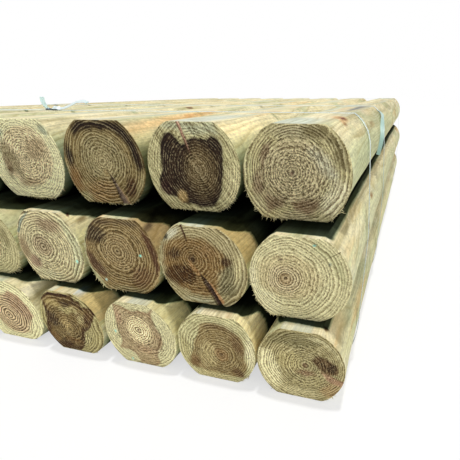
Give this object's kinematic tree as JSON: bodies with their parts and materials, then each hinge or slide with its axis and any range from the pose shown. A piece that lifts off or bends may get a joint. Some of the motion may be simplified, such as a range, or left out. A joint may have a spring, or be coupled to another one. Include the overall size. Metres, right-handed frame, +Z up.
{
  "type": "strapped pack of round-sided softwood sleepers",
  "caption": "Strapped pack of softwood landscaping sleepers: logs with two sawn faces and round sides, laid in rows and held by plastic straps.",
  "frame": {"origin": "on the floor, under the middle of the pack", "axes": "+Y into the pack from the sawn ends that stand forward, along the sleepers; +X to the right of someone who looks at those ends; +Z up"},
  "size_m": [1.5812, 2.538, 0.517],
  "materials": {
    "sleeper_wood": "rough-sawn pressure-treated softwood, pale green-yellow sides and ringed brown ends",
    "strap": "pale blue translucent polypropylene strapping",
    "buckle": "dark phosphated wire"
  },
  "bodies": {
    "root": {"sleeper_bottom_1": "sleeper_wood", "sleeper_bottom_2": "sleeper_wood", "sleeper_bottom_3": "sleeper_wood", "sleeper_bottom_4": "sleeper_wood", "sleeper_bottom_5": "sleeper_wood", "sleeper_bottom_6": "sleeper_wood", "sleeper_bottom_7": "sleeper_wood", "sleeper_bottom_8": "sleeper_wood", "sleeper_middle_1": "sleeper_wood", "sleeper_middle_2": "sleeper_wood", "sleeper_middle_3": "sleeper_wood", "sleeper_middle_4": "sleeper_wood", "sleeper_middle_5": "sleeper_wood", "sleeper_middle_6": "sleeper_wood", "sleeper_middle_7": "sleeper_wood", "sleeper_middle_8": "sleeper_wood", "sleeper_top_1": "sleeper_wood", "sleeper_top_2": "sleeper_wood", "sleeper_top_3": "sleeper_wood", "sleeper_top_4": "sleeper_wood", "sleeper_top_5": "sleeper_wood", "sleeper_top_6": "sleeper_wood", "sleeper_top_7": "sleeper_wood", "sleeper_top_8": "sleeper_wood", "strap_front": "strap", "strap_mid": "strap", "strap_back": "strap", "wire_buckle": "buckle"}
  },
  "joints": []
}
